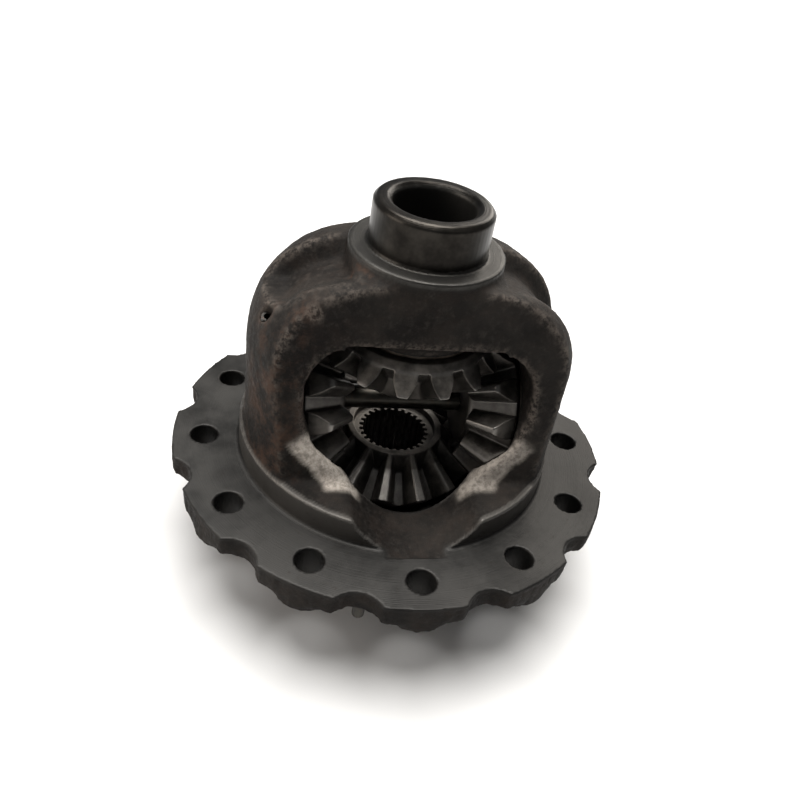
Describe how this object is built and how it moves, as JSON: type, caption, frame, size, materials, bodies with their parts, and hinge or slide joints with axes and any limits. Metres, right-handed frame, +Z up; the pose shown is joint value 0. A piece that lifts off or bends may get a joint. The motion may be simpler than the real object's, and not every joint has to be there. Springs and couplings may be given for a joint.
{
  "type": "differential gear assembly",
  "caption": "Open differential: a one-piece windowed case with a scalloped ring-gear flange holds meshed bevel side gears and pinions on a cross pin.",
  "frame": {"origin": "centre of the lower journal's end face, on the axle axis", "axes": "+Z up the axle axis from the flange side to the long-necked side; X along the cross pin; windows face -Y and +Y"},
  "size_m": [0.207, 0.207, 0.1733],
  "materials": {
    "cast_case": "sand cast with turned faces",
    "gear_steel": "forged and machined, dull",
    "pin_steel": "ground",
    "washer_steel": "phosphated"
  },
  "bodies": {
    "case": {"case": "cast_case", "side_washer_upper": "washer_steel", "side_washer_lower": "washer_steel", "pinion_washer_left": "washer_steel", "pinion_washer_right": "washer_steel", "cross_pin": "pin_steel", "lock_pin": "pin_steel", "dowel_pin": "pin_steel"},
    "side_gear_upper": {"side_gear_upper": "gear_steel"},
    "side_gear_lower": {"side_gear_lower": "gear_steel"},
    "pinion_left": {"pinion_left": "gear_steel"},
    "pinion_right": {"pinion_right": "gear_steel"}
  },
  "joints": [
    {"name": "lower_gear_spin", "type": "hinge", "parent": "case", "child": "side_gear_lower", "pos_m": [0, 0, 0.075], "axis": [0, 0, 1], "continuous": true},
    {"name": "upper_gear_spin", "type": "hinge", "parent": "case", "child": "side_gear_upper", "pos_m": [0, 0, 0.075], "axis": [0, 0, 1], "continuous": true},
    {"name": "right_pinion_spin", "type": "hinge", "parent": "case", "child": "pinion_right", "pos_m": [0, 0, 0.075], "axis": [1, 0, 0], "continuous": true},
    {"name": "left_pinion_spin", "type": "hinge", "parent": "case", "child": "pinion_left", "pos_m": [0, 0, 0.075], "axis": [1, 0, 0], "continuous": true}
  ],
  "couplings": [
    {"joint": "upper_gear_spin", "follows": "lower_gear_spin", "ratio": -1},
    {"joint": "right_pinion_spin", "follows": "lower_gear_spin", "ratio": 1.1667},
    {"joint": "left_pinion_spin", "follows": "lower_gear_spin", "ratio": -1.1667}
  ]
}
